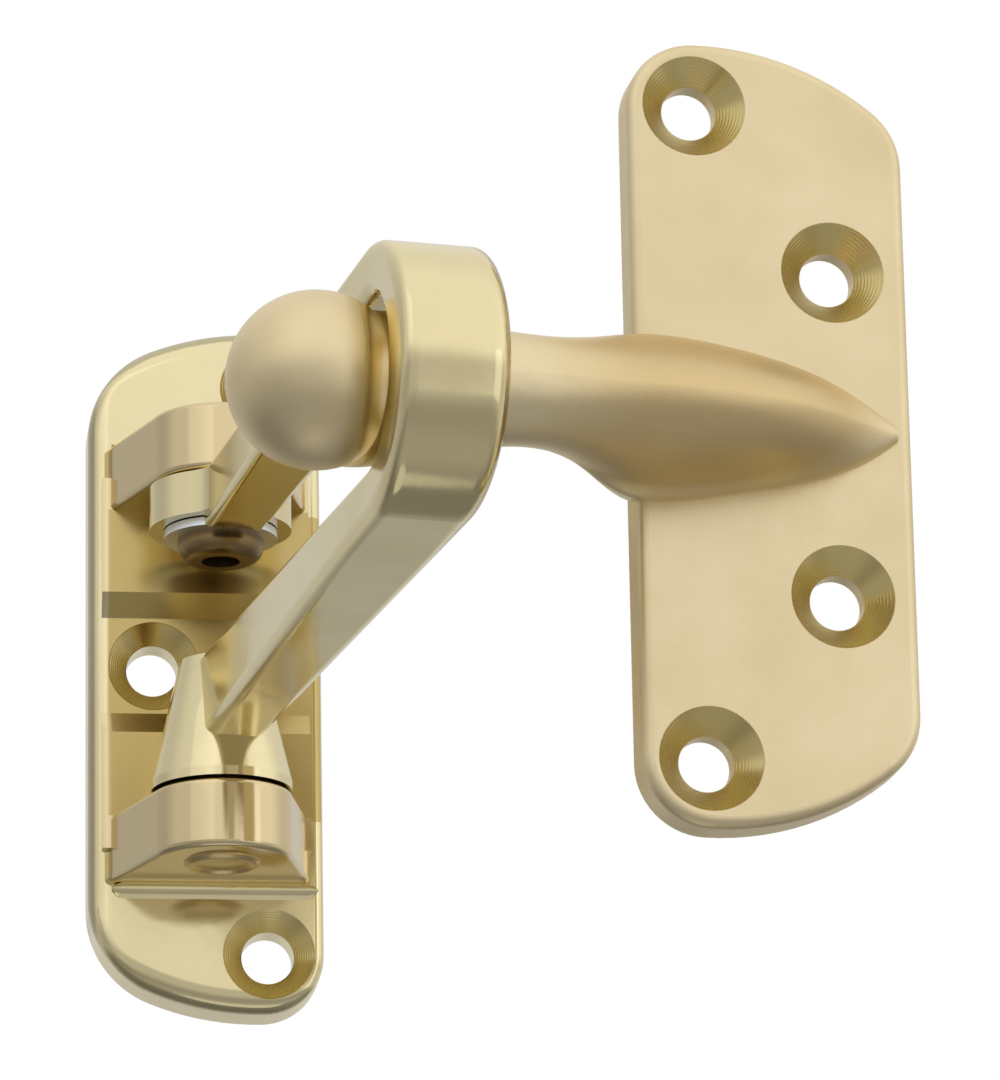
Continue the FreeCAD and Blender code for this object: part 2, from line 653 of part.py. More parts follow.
# Ball at the end of the neck
ball_half = new_sketch(catch, "ball_half", "XY_Plane")
ball_centre = V(-value("Sheet.ball_reach"), -value("Sheet.ball_plate_thick + Sheet.ball_out"), 0)
r_ball = value("Sheet.ball_radius")
half_circle = ball_half.addGeometry(
    Part.ArcOfCircle(Part.Circle(ball_centre, V(0, 0, 1), r_ball), 0, math.pi), False
)
axis_line = ball_half.addGeometry(
    Part.LineSegment(ball_centre - V(r_ball, 0, 0), ball_centre + V(r_ball, 0, 0)), False
)
rule(ball_half, "Coincident", half_circle, 2, axis_line, 1)
rule(ball_half, "Coincident", half_circle, 1, axis_line, 2)
rule(ball_half, "PointOnObject", half_circle, 3, axis_line)
rule(ball_half, "Horizontal", axis_line)
dim(ball_half, "Radius", (half_circle,), "ball", "Sheet.ball_radius")
place(
    ball_half,
    half_circle,
    3,
    "centre",
    x=(-1, "Sheet.ball_reach"),
    y=(-1, "Sheet.ball_plate_thick + Sheet.ball_out"),
)
ball = catch.newObject("PartDesign::Revolution", "ball")
ball.Profile = ball_half
ball.ReferenceAxis = (ball_half, [f"Edge{axis_line + 1}"])
ball.Angle = 360
doc.recompute()

# Back face is machined flat
back = new_sketch(catch, "back_flat", "XZ_Plane")
reach = value("Sheet.ball_reach + Sheet.ball_plate_width")
tall = value("Sheet.ball_plate_inner_high")
frame_lines = polygon(back, [(-reach, -tall), (reach, -tall), (reach, tall), (-reach, tall)])
for line in (frame_lines[0], frame_lines[2]):
    rule(back, "Horizontal", line)
for line in (frame_lines[1], frame_lines[3]):
    rule(back, "Vertical", line)
place(back, frame_lines[0], 1, "low", x=(-1, "Sheet.ball_reach + Sheet.ball_plate_width"),
      y=(-1, "Sheet.ball_plate_inner_high"))
place(back, frame_lines[1], 2, "top", x=(1, "Sheet.ball_reach + Sheet.ball_plate_width"),
      y=(1, "Sheet.ball_plate_inner_high"))
pocket(catch, back, "back_facing", "Sheet.ball_plate_inner_high")

screw_holes(
    catch,
    "ball",
    [
        ((-1, "Sheet.ball_end_hole_x"), (1, "Sheet.ball_end_hole_z")),
        ((-1, "Sheet.ball_end_hole_x"), (-1, "Sheet.ball_end_hole_z")),
        ((1, "Sheet.ball_side_hole_x"), (1, "Sheet.ball_side_hole_z")),
        ((1, "Sheet.ball_side_hole_x"), (-1, "Sheet.ball_side_hole_z")),
    ],
    "Sheet.ball_hole",
    "Sheet.ball_sink",
    "Sheet.ball_plate_thick",
)
STAND = "(Sheet.ball_out + Sheet.ball_plate_thick)"
TURN = "Sheet.door_angle"
catch.Placement = FreeCAD.Placement(V(0, 0, 0), FreeCAD.Rotation(V(0, 0, 1), value(TURN)))
catch.setExpression("Placement.Base.x", f"{BALL_X} + Sheet.ball_reach * cos({TURN}) - {STAND} * sin({TURN})")
catch.setExpression("Placement.Base.y", f"{BALL_Y} + Sheet.ball_reach * sin({TURN}) + {STAND} * cos({TURN})")
catch.setExpression("Placement.Base.z", "Sheet.bar_lift")
catch.setExpression("Placement.Rotation.Angle", TURN)


def dome_arc(sketch, head_radius, high, top, sign):
    """Low spherical dome over a head, returns the arc with its rim and crown positions."""
    sphere = (head_radius ** 2 + high ** 2) / (2 * high)
    level = top + sign * (high - sphere)
    slope = math.asin((sphere - high) / sphere)
    spans = (slope, math.pi / 2) if sign > 0 else (-math.pi / 2, -slope)
    arc = circle_arc(sketch, (0, level), sphere, *spans)
    return (arc, 1, 2) if sign > 0 else (arc, 2, 1)


def turned(name, points, sign, places):
    """Turned piece on the hinge line: a stepped profile closed by a dome over its last point."""
    body = new_body(name)
    sketch = new_sketch(body, f"{name}_profile", "XZ_Plane")
    high = value("Sheet.head_high")
    lines = [
        sketch.addGeometry(Part.LineSegment(V(*p, 0), V(*q, 0)), False) for p, q in zip(points, points[1:])
    ]
    arc, rim_end, crown_end = dome_arc(sketch, points[-1][0], high, points[-1][1], sign)
    for first, second in zip(lines, lines[1:]):
        rule(sketch, "Coincident", first, 2, second, 1)
    rule(sketch, "Coincident", lines[-1], 2, arc, rim_end)
    rule(sketch, "Coincident", arc, crown_end, lines[0], 1)
    rule(sketch, "PointOnObject", arc, 3, -2)
    rule(sketch, "PointOnObject", lines[0], 1, -2)
    rule(sketch, "PointOnObject", lines[0], 2, -2)
    for line, (start_point, end_point) in zip(lines[1:], zip(points[1:], points[2:])):
        rule(sketch, "Horizontal" if start_point[1] == end_point[1] else "Vertical", line)
    for index, x, y in places:
        place(sketch, lines[index], 2, f"point_{index}", x=x, y=y)
    crown = (lines[-1], 2, lines[0], 1) if sign > 0 else (lines[0], 1, lines[-1], 2)
    dim(sketch, "DistanceY", crown, "crown", "Sheet.head_high")
    spun = body.newObject("PartDesign::Revolution", f"{name}_turned")
    spun.Profile = sketch
    spun.ReferenceAxis = (sketch, ["V_Axis"])
    spun.Angle = 360
    doc.recompute()
    body.setExpression("Placement.Base.x", "Sheet.hinge_x")
    body.setExpression("Placement.Base.y", f"-{HINGE_OUT}")
    return body


# Upper rivet: domed head on the ear, hollow curled end under the washer
EAR_OUT = f"({EAR_IN} + Sheet.ear_thick)"
SEAT = f"({EYE_LOW} - Sheet.washer_gap - Sheet.washer_thick)"
CURL = f"({SEAT} - Sheet.curl_high)"
pin = value("Sheet.pin_radius")
head = value("Sheet.head_radius")
curl = value("Sheet.curl_radius")
hollow_r = value("Sheet.curl_bore")
top_z = value(EAR_OUT)
seat_z = value(SEAT)
curl_z = value(CURL)
deep_z = curl_z + value("Sheet.curl_depth")
upper_rivet = turned(
    "pivot_rivet_upper",
    [
        (0, top_z + value("Sheet.head_high")),
        (0, deep_z),
        (hollow_r, deep_z),
        (hollow_r, curl_z),
        (curl, curl_z),
        (curl, seat_z),
        (pin, seat_z),
        (pin, top_z),
        (head, top_z),
    ],
    1,
    [
        (1, (1, "Sheet.curl_bore"), (1, f"{CURL} + Sheet.curl_depth")),
        (3, (1, "Sheet.curl_radius"), (1, CURL)),
        (5, (1, "Sheet.pin_radius"), (1, SEAT)),
        (7, (1, "Sheet.head_radius"), (1, EAR_OUT)),
    ],
)
lip = edges_where(
    upper_rivet,
    lambda e: e.Curve.TypeId == "Part::GeomCircle" and e.Curve.Radius > curl - 1e-4 and flat_at(e, 2, curl_z),
)
round_edges(upper_rivet, "curl_lip", lip, "Sheet.curl_high * 0.6")

# Lower rivet: the same head under the lower ear, a plain pin that ends inside the boss
PIN_TOP = f"(Sheet.side_gap + Sheet.boss_bore - Sheet.boss_cap - {EAR_IN})"
pin_z = value(PIN_TOP)
lower_rivet = turned(
    "pivot_rivet_lower",
    [
        (0, -top_z - value("Sheet.head_high")),
        (0, pin_z),
        (pin, pin_z),
        (pin, -top_z),
        (head, -top_z),
    ],
    -1,
    [
        (1, (1, "Sheet.pin_radius"), (-1, f"-{PIN_TOP}")),
        (3, (1, "Sheet.head_radius"), (-1, EAR_OUT)),
    ],
)

# Washer under the upper eye
ring = new_body("washer_upper")
flat_ring = new_sketch(ring, "washer_ring", "XY_Plane", SEAT)
for tag, expression in (("outer", "Sheet.washer_radius"), ("inner", "Sheet.pin_radius + Sheet.pin_fit")):
    circle = flat_ring.addGeometry(Part.Circle(V(0, 0, 0), V(0, 0, 1), value(expression)), False)
    rule(flat_ring, "Coincident", circle, 3, -1, 1)
    dim(flat_ring, "Radius", (circle,), tag, expression)
pad(ring, flat_ring, "washer_disc", "Sheet.washer_thick")
ring.setExpression("Placement.Base.x", "Sheet.hinge_x")
ring.setExpression("Placement.Base.y", f"-{HINGE_OUT}")
pieces = [frame, bar, catch, upper_rivet, lower_rivet, ring]
doc.recompute()

# Every object has to be sound before anything is written
for item in doc.Objects:
    if "Invalid" in item.State or "Error" in item.State:
        raise RuntimeError(f"{item.Name} failed: {item.State}")
for body in pieces:
    if body.Shape.isNull() or not body.Shape.isValid():
        raise RuntimeError(f"{body.Label} has no valid shape")

os.makedirs("parts", exist_ok=True)
for body in pieces:
    body.Shape.exportStep(f"parts/{body.Label}.step")
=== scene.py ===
"""Looks of a swing bar door guard: finishes, turned details, studio and camera."""

import logging
import math
from dataclasses import dataclass, field
from enum import Enum

import bmesh
import bpy
import numpy as np
from mathutils import Matrix, Vector

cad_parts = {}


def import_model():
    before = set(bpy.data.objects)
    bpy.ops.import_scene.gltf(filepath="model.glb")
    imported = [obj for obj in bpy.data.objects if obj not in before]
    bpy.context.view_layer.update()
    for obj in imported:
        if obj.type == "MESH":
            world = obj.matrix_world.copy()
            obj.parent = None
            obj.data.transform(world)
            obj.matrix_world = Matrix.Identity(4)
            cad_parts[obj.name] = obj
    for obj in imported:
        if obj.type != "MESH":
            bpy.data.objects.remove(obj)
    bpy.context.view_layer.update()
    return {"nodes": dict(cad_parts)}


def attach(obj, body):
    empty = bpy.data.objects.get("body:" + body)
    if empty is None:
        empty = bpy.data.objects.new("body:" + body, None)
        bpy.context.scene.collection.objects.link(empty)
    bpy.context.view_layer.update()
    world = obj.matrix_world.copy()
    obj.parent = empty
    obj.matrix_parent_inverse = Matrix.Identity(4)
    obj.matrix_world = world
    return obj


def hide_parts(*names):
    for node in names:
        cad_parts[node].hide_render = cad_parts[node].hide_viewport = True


LOG = logging.getLogger("door_guard")
MM = 0.001
NOISE_ROUGHNESS = 0.6
Point = tuple[float, float, float]
Colour = tuple[float, float, float]


class Body(Enum):
    """Bodies of the record that carry new pieces."""

    FRAME = "frame"
    DOOR = "door"


class Wire:
    """One node socket that can be used in sums and products."""

    def __init__(self, graph: "Graph", socket: bpy.types.NodeSocket) -> None:
        """Keeps the socket and the graph that it belongs to.

        Args:
            graph: Graph that owns the socket.
            socket: Output socket.
        """
        self.graph = graph
        self.socket = socket

    def maths(self, operation: str, *others: "Wire | float") -> "Wire":
        """Applies a maths operation with this socket as its first value.

        Args:
            operation: Name of the Math node's operation.
            others: Further values.

        Returns:
            Result of the operation.
        """
        return self.graph.maths(operation, self, *others)

    def __add__(self, other: "Wire | float") -> "Wire":
        """Returns this plus other."""
        return self.maths("ADD", other)

    def __radd__(self, other: float) -> "Wire":
        """Returns other plus this."""
        return self.maths("ADD", other)

    def __sub__(self, other: "Wire | float") -> "Wire":
        """Returns this minus other."""
        return self.maths("SUBTRACT", other)

    def __rsub__(self, other: float) -> "Wire":
        """Returns other minus this."""
        return self.graph.maths("SUBTRACT", other, self)

    def __mul__(self, other: "Wire | float") -> "Wire":
        """Returns this times other."""
        return self.maths("MULTIPLY", other)

    def __rmul__(self, other: float) -> "Wire":
        """Returns other times this."""
        return self.maths("MULTIPLY", other)

    def __truediv__(self, other: "Wire | float") -> "Wire":
        """Returns this divided by other."""
        return self.maths("DIVIDE", other)

    def __rtruediv__(self, other: float) -> "Wire":
        """Returns other divided by this."""
        return self.graph.maths("DIVIDE", other, self)


class Graph:
    """Node tree of a material or of the world."""

    def __init__(self, tree: bpy.types.NodeTree) -> None:
        """Keeps the tree.

        Args:
            tree: Node tree that new nodes go into.
        """
        self.tree = tree

    def node(
        self, kind: str, inputs: dict[str | int, object], out: str | int = 0, **options: object
    ) -> Wire:
        """Makes any node, sets its options and joins its inputs.

        Args:
            kind: Node type name.
            inputs: Input sockets by name or number, each a wire or a plain value.
            out: Output socket to return.
            options: Node properties.

        Returns:
            The chosen output.
        """
        made = self.tree.nodes.new(kind)
        for name, setting in options.items():
            setattr(made, name, setting)
        for key, given in inputs.items():
            if isinstance(given, Wire):
                self.tree.links.new(given.socket, made.inputs[key])
            else:
                made.inputs[key].default_value = given
        return Wire(self, made.outputs[out])

    def maths(self, operation: str, *values: "Wire | float") -> Wire:
        """Makes a Math node.

        Args:
            operation: Name of the operation.
            values: Its values in order.

        Returns:
            Result of the operation.
        """
        return self.node("ShaderNodeMath", dict(enumerate(values)), operation=operation)

    def blend(self, share: Wire, low: Colour | Wire, high: Colour | Wire) -> Wire:
        """Mixes two colours.

        Args:
            share: Share of the second colour, 0 to 1.
            low: First colour.
            high: Second colour.

        Returns:
            Mixed colour.
        """
        first = low if isinstance(low, Wire) else (*low, 1.0)
        second = high if isinstance(high, Wire) else (*high, 1.0)
        return self.node("ShaderNodeMix", {0: share, 6: first, 7: second}, out=2, data_type="RGBA")

    def step(self, given: Wire, start: float, end: float) -> Wire:
        """Rises smoothly from 0 at start to 1 at end.

        Args:
            given: Value to test.
            start: Value that gives 0.
            end: Value that gives 1.

        Returns:
            Smooth step.
        """
        limits = {0: given, 1: start, 2: end, 3: 0.0, 4: 1.0}
        return self.node("ShaderNodeMapRange", limits, interpolation_type="SMOOTHSTEP")

    def place(self) -> Wire:
        """Returns the object coordinates, in metres."""
        return self.node("ShaderNodeTexCoord", {}, out="Object")

    def noise(self, scale: float, detail: float) -> Wire:
        """Makes noise over the object's own coordinates.

        Args:
            scale: Features per metre.
            detail: Octaves.

        Returns:
            Noise value around 0.5.
        """
        inputs = {"Vector": self.place(), "Scale": scale, "Detail": detail, "Roughness": NOISE_ROUGHNESS}
        return self.node("ShaderNodeTexNoise", inputs)

    def along(self, point: Point, axis: Point) -> Wire:
        """Measures how far a place lies along a direction.

        Args:
            point: Point where the measure starts.
            axis: Unit direction.

        Returns:
            Distance in metres.
        """
        arm = self.node("ShaderNodeVectorMath", {0: self.place(), 1: point}, operation="SUBTRACT")
        pair = {0: arm, 1: axis}
        return self.node("ShaderNodeVectorMath", pair, out="Value", operation="DOT_PRODUCT")


@dataclass(frozen=True)
class Metal:
    """Metal finish with clouded colour, uneven gloss and fine grain."""

    name: str
    pale: Colour
    deep: Colour
    roughness: float
    spread: float
    grain_scale: float
    grain: float
    cloud_scale: float = 60.0
    cloud_edges: tuple[float, float] = (0.3, 0.7)
    cloud_detail: float = 3.0
    grain_detail: float = 4.0

    def tint(self, graph: Graph, base: Wire) -> Wire:
        """Adds local colour to the base colour.

        Args:
            graph: Graph of the material.
            base: Clouded base colour.

        Returns:
            Final colour.
        """
        return base

    def gloss(self, graph: Graph, base: Wire) -> Wire:
        """Adds local gloss to the base roughness.

        Args:
            graph: Graph of the material.
            base: Uneven base roughness.

        Returns:
            Final roughness.
        """
        return base

    def relief(self, graph: Graph, base: Wire) -> Wire:
        """Adds local relief to the grain.

        Args:
            graph: Graph of the material.
            base: Grain height.

        Returns:
            Final height.
        """
        return base

    def make(self) -> bpy.types.Material:
        """Returns the material with its nodes."""
        material = bpy.data.materials.new(self.name)
        material.use_nodes = True
        tree = material.node_tree
        graph = Graph(tree)
        shader = tree.nodes["Principled BSDF"]
        shader.inputs["Metallic"].default_value = 1.0
        clouds = graph.noise(self.cloud_scale, self.cloud_detail)
        grain = graph.noise(self.grain_scale, self.grain_detail)
        cloudy = graph.step(clouds, *self.cloud_edges)
        colour = self.tint(graph, graph.blend(cloudy, self.pale, self.deep))
        rough = self.gloss(graph, self.roughness + self.spread * (clouds + grain - 1.0))
        height = self.relief(graph, grain * self.grain)
        bump = graph.node("ShaderNodeBump", {"Strength": 1.0, "Distance": MM, "Height": height})
        for socket, wire in (("Base Color", colour), ("Roughness", rough), ("Normal", bump)):
            tree.links.new(wire.socket, shader.inputs[socket])
        return material


@dataclass(frozen=True)
class HandPolished(Metal):
    """Mirror finish with the slow waves that buffing leaves."""

    wave_scale: float = 95.0
    wave: float = 0.06

    def relief(self, graph: Graph, base: Wire) -> Wire:
        """Adds slow waves to the grain."""
        return base + graph.noise(self.wave_scale, 1.0) * self.wave


@dataclass(frozen=True)
class SoftEdged(HandPolished):
    """Mirror finish of the frame plate, buffed round outside and rougher between the ears, with painted
    reflection and painted shade deepening the gold between and on the ears.
    """

    left: float = -11.6 * MM
    end_centre: tuple[float, float] = (5.14 * MM, 7.155 * MM)
    end_radius: float = 28 * MM
    width: float = 2.3 * MM
    curve: float = 2.4 * MM
    face: float = 5.2 * MM
    bed_left: float = -9.7 * MM
    bed_half: float = 15.7 * MM
    bed_fade: float = 0.1 * MM
    bed_front: tuple[float, float] = (-0.6 * MM, -0.3 * MM)
    bed_rough: float = 0.1
    # Painted shade and reflection: deeper gold for the bed between the ears.
    bed_shade_colour: Colour = (0.57, 0.44, 0.18)
    ear_edges: tuple[float, float] = (0.5 * MM, 2 * MM)
    # Painted reflection: deeper gold on the ears, mirroring the brass around them.
    ear_reflection_colour: Colour = (0.7, 0.58, 0.35)
    corner: float = 3 * MM

    def bed(self, graph: Graph) -> Wire:
        """Gives 1 on the bed between the ears and 0 elsewhere.

        Args:
            graph: Graph of the material.

        Returns:
            Share of the finish, 0 to 1.
        """
        tall = graph.along((0.0, 0.0, 0.0), (0.0, 0.0, 1.0)).maths("ABSOLUTE")
        between = graph.step(tall, self.bed_half + self.bed_fade, self.bed_half)
        inner = graph.along((self.bed_left, 0.0, 0.0), (1.0, 0.0, 0.0))
        within = graph.step(inner, -2 * self.bed_fade, 2 * self.bed_fade)
        out = graph.along((0.0, -self.face, 0.0), (0.0, -1.0, 0.0))
        return between * within * graph.step(out, *self.bed_front)

    def tint(self, graph: Graph, base: Wire) -> Wire:
        """Paints deeper gold on the ears and on the bed between them: a painted reflection of the brass
        around them, and painted shade between the ears.

        Args:
            graph: Graph of the material.
            base: Clouded base colour.

        Returns:
            Final colour.
        """
        out = graph.along((0.0, -self.face, 0.0), (0.0, -1.0, 0.0))
        # Painted reflection on the ears, then painted shade and reflection on the bed between them.
        eared = graph.blend(graph.step(out, *self.ear_edges), base, self.ear_reflection_colour)
        return graph.blend(self.bed(graph), eared, self.bed_shade_colour)

    def gloss(self, graph: Graph, base: Wire) -> Wire:
        """Dulls the bed."""
        return base + self.bed(graph) * self.bed_rough

    def relief(self, graph: Graph, base: Wire) -> Wire:
        """Lets the height fall off towards the left side and both ends.

        The fall is the square of the way into the rounded strip, over twice its radius.

        Args:
            graph: Graph of the material.
            base: Grain height.

        Returns:
            Final height.
        """
        x, z = self.end_centre
        side = graph.along((self.left, 0.0, 0.0), (1.0, 0.0, 0.0))
        across = graph.along((x, 0.0, 0.0), (1.0, 0.0, 0.0))
        tall = graph.along((0.0, 0.0, 0.0), (0.0, 0.0, 1.0)).maths("ABSOLUTE") - z
        reach = (across * across + tall * tall).maths("SQRT")
        edge = graph.maths("SMOOTH_MIN", side, self.end_radius - reach, self.corner)
        fall = graph.maths("MAXIMUM", self.width - edge, 0.0)
        return HandPolished.relief(self, graph, base) - fall * fall / (2 * self.curve * MM)


@dataclass(frozen=True)
class BarPolish(HandPolished):
    """Mirror finish of the swing bar, whose edges get rounder towards the nose."""

    hinge: Point = (0.85 * MM, -14.8 * MM, 0.0)
    turn: float = math.radians(10.0)
    length: float = 83.2 * MM
    half_hinge: float = 2.8 * MM
    half_nose: float = 5.2 * MM
    curve: float = 2.8 * MM
    strip_hinge: float = 0.3 * MM
    strip_more: float = 1.5 * MM
    strip_shares: tuple[float, float] = (0.5, 0.9)
    eye_edges: tuple[float, float] = (14 * MM, 26 * MM)

    def relief(self, graph: Graph, base: Wire) -> Wire:
        """Lets the height fall off towards both sides of the bar.

        The fall is the square of the way into the rounded strip, over twice its radius.

        Args:
            graph: Graph of the material.
            base: Grain height.

        Returns:
            Final height.
        """
        sine, cosine = math.sin(self.turn), math.cos(self.turn)
        along = graph.along(self.hinge, (sine, -cosine, 0.0))
        aside = graph.along(self.hinge, (cosine, sine, 0.0)).maths("ABSOLUTE")
        half = self.half_hinge + along * ((self.half_nose - self.half_hinge) / self.length)
        start, end = (share * self.length for share in self.strip_shares)
        width = self.strip_hinge + self.strip_more * graph.step(along, start, end)
        fall = graph.maths("MAXIMUM", width - (half - aside), 0.0)
        beyond_eye = graph.step(along, *self.eye_edges)
        waves = HandPolished.relief(self, graph, base)
        return waves - beyond_eye * fall * fall / (2 * self.curve * MM)


@dataclass(frozen=True)
class BallMetal(Metal):
    """Blasted finish of the ball plate, whose ball has a turned band behind."""

    centre: Point = (0.0, 0.0, 0.0)
    axis: Point = (1.0, 0.0, 0.0)
    out: Point = (0.0, -1.0, 0.0)
    root: Point = (0.0, 0.0, 0.0)
    radius: float = 8 * MM
    band_from: float = 3.2 * MM
    band_fade: float = 0.15 * MM
    band_skin: tuple[float, float] = (0.5 * MM, 0.2 * MM)
    # Depth along the ball's axis where the painted shade on the ball's back begins.
    back_shade_from: float = 5.6 * MM
    band_rough: float = 0.3
    line_pitch: float = 9000.0
    line_depth: float = 0.1
    band_colour: Colour = (0.95, 0.79, 0.42)
    # Painted shade: dark brown for the ball's back towards the neck.
    back_shade_colour: Colour = (0.34, 0.23, 0.12)
    # Painted reflection: deeper gold on the horn's root, mirroring the brass around it.
    horn_reflection_colour: Colour = (0.7, 0.54, 0.29)
    crest: float = 0.24
    crest_soft: float = 0.6 * MM
    face: float = 4.1 * MM
    horn_rise: float = 5 * MM
    horn_edges: tuple[float, float] = (-25 * MM, -13 * MM)

    def band(self, graph: Graph) -> Wire:
        """Gives 1 on the turned band of the ball and 0 elsewhere.

        Args:
            graph: Graph of the material.

        Returns:
            Share of the finish, 0 to 1.
        """
        pair = {0: graph.place(), 1: self.centre}
        arm = graph.node("ShaderNodeVectorMath", pair, operation="SUBTRACT")
        reach = graph.node("ShaderNodeVectorMath", {0: arm}, out="Value", operation="LENGTH")
        near = graph.step(reach, *(self.radius + skin for skin in self.band_skin))
        depth = graph.along(self.centre, self.axis)
        return near * graph.step(depth, self.band_from, self.band_from + self.band_fade)

    def horn(self, graph: Graph) -> Wire:
        """Gives 1 on the horn's root and 0 on the plate, the neck and the ball.

        Args:
            graph: Graph of the material.

        Returns:
            Share of the finish, 0 to 1.
        """
        over = graph.step(graph.along(self.root, self.out), self.face, self.face + self.horn_rise)
        return over * graph.step(graph.along(self.root, self.axis), *self.horn_edges)

    def tint(self, graph: Graph, base: Wire) -> Wire:
        """Paints a deeper gold reflection on the horn's root, and gives the band fine turned lines, with
        painted shade on the ball's back beyond the band, towards the neck.

        Args:
            graph: Graph of the material.
            base: Clouded base colour.

        Returns:
            Final colour.
        """
        depth = graph.along(self.centre, self.axis)
        wave = graph.maths("SINE", depth * self.line_pitch)
        lines = wave * self.line_depth + (1 - self.line_depth)
        dark = graph.step(depth, self.back_shade_from, self.back_shade_from + MM)
        # Turned band colour, then painted shade on the ball's back beyond it.
        turned = graph.blend(dark, self.band_colour, self.back_shade_colour)
        # Painted reflection on the horn's root.
        grown = graph.blend(self.horn(graph), base, self.horn_reflection_colour)
        return graph.blend(self.band(graph) * lines, grown, turned)

    def gloss(self, graph: Graph, base: Wire) -> Wire:
        """Polishes the band."""
        return base - self.band(graph) * (self.roughness - self.band_rough)

    def relief(self, graph: Graph, base: Wire) -> Wire:
        """Takes the grain off the band and sharpens the horn's crest.

        The crest falls off with the distance from the horn's middle plane, rounded at the top.

        Args:
            graph: Graph of the material.
            base: Grain height.

        Returns:
            Final height.
        """
        height = graph.along(self.root, (0.0, 0.0, 1.0))
        ridge = (height * height + self.crest_soft ** 2).maths("SQRT") * (self.crest / MM)
        return base * (1.0 - self.band(graph)) - ridge * self.horn(graph)


BUFFED = ("polished_brass", (0.81, 0.72, 0.45), (0.77, 0.67, 0.4), 0.13, 0.05, 900.0, 0.004, 45.0)
POLISHED = BarPolish(*BUFFED)
EDGED = SoftEdged("edged_brass", *BUFFED[1:])
SATIN = dict(
    name="satin_brass",
    pale=(0.81, 0.69, 0.45),
    deep=(0.76, 0.63, 0.39),
    roughness=0.4,
    spread=0.1,
    grain_scale=6500.0,
    grain=0.017,
    cloud_scale=70.0,
)
TURNED = Metal("turned_brass", (0.76, 0.64, 0.31), (0.68, 0.55, 0.24), 0.24, 0.08, 2500.0, 0.006)
ZINC = Metal("zinc", (0.9, 0.94, 0.99), (0.84, 0.89, 0.96), 0.32, 0.08, 2500.0, 0.006)
# Painted shade: dark brown for the upper rivet's end, which sits in the hollow under the upper eye.
SHADED_RIVET = Metal("rivet_bronze", (0.3, 0.21, 0.1), (0.2, 0.135, 0.06), 0.3, 0.1, 2600.0, 0.01)
RIVET = Metal("rivet_brass", (0.66, 0.52, 0.28), (0.54, 0.41, 0.2), 0.24, 0.08, 2600.0, 0.01)


@dataclass
class Surface:
    """Grid of points, closed around its rows, that becomes a mesh."""

    name: str
    points: np.ndarray
    weld: float = 1e-7
    crease: float = math.radians(40)

    def shape(self, material: bpy.types.Material) -> bpy.types.Object:
        """Makes the object, with its doubles merged and its faces outwards.

        Each face joins two neighbours in a row with the two below them.

        Args:
            material: Finish.

        Returns:
            The new object.
        """
        rows, columns = self.points.shape[:2]
        across = np.arange(columns)
        down = np.arange(rows - 1)[:, None] * columns
        first = down + across
        second = down + (across + 1) % columns
        faces = np.stack([first, second, second + columns, first + columns], -1).reshape(-1, 4)
        mesh = bpy.data.meshes.new(self.name)
        mesh.from_pydata(self.points.reshape(-1, 3).tolist(), [], faces.tolist())
        work = bmesh.new()
        work.from_mesh(mesh)
        bmesh.ops.remove_doubles(work, verts=work.verts, dist=self.weld)
        bmesh.ops.recalc_face_normals(work, faces=work.faces)
        work.to_mesh(mesh)
        work.free()
        mesh.polygons.foreach_set("use_smooth", np.ones(len(mesh.polygons), dtype=bool))
        mesh.set_sharp_from_angle(angle=self.crease)
        mesh.materials.append(material)
        mesh.update()
        piece = bpy.data.objects.new(self.name, mesh)
        bpy.context.scene.collection.objects.link(piece)
        return piece

    def build(self, material: bpy.types.Material, slot: str, body: Body) -> bpy.types.Object:
        """Makes the object, dresses it and lets it ride on a body.

        Args:
            material: Finish.
            slot: Record slot of the finish; not used.
            body: Body that carries the piece.

        Returns:
            The new object.
        """
        piece = self.shape(material)
        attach(piece, body.value)
        return piece


def spun(profile: np.ndarray, centre: Point, axis: Point, count: int = 96) -> np.ndarray:
    """Turns a profile about an axis.

    Args:
        profile: Rows of radius and height along the axis, in metres.
        centre: Point on the axis where the height is 0.
        axis: Unit direction of the height.
        count: Points around.

    Returns:
        Grid of points, one row for each point of the profile.
    """
    height = np.asarray(axis, float)
    side = np.cross(height, (0.0, 0.0, 1.0) if abs(height[2]) < 0.9 else (1.0, 0.0, 0.0))
    side /= np.linalg.norm(side)
    other = np.cross(height, side)
    turn = np.linspace(0.0, 2 * np.pi, count, endpoint=False)
    ring = np.cos(turn)[:, None] * side + np.sin(turn)[:, None] * other
    around = profile[:, :1, None] * ring[None]
    return np.asarray(centre) + around + profile[:, 1, None, None] * height


@dataclass
class Countersink:
    """Turned seat of one screw hole."""

    name: str
    centre: Point
    axis: Point
    hole: float
    sink: float
    groove: float = 0.005 * MM
    lift: float = 0.03 * MM
    inset: float = 0.08 * MM
    wall: float = 0.08 * MM
    rows: int = 60
    ring_step: float = 0.9

    def build(self, material: bpy.types.Material, slot: str, body: Body) -> bpy.types.Object:
        """Makes the ringed cone that lines the countersink, as a thin closed ring.

        The height grows with the radius, plus a sine ripple.

        Args:
            material: Finish.
            slot: Record slot of the finish; not used.
            body: Body that carries the piece.

        Returns:
            The new object.
        """
        radius = np.linspace(self.hole / 2 + self.inset, self.sink / 2 - self.inset, self.rows)
        ripple = self.groove * np.sin(np.arange(self.rows) * self.ring_step)
        height = radius - self.sink / 2 + self.lift + ripple
        front = np.stack([radius, height], -1)
        back = front[[-1, 0]] - (0.0, self.wall)
        profile = np.concatenate([front, back, front[:1]])
        return Surface(self.name, spun(profile, self.centre, self.axis)).build(material, slot, body)


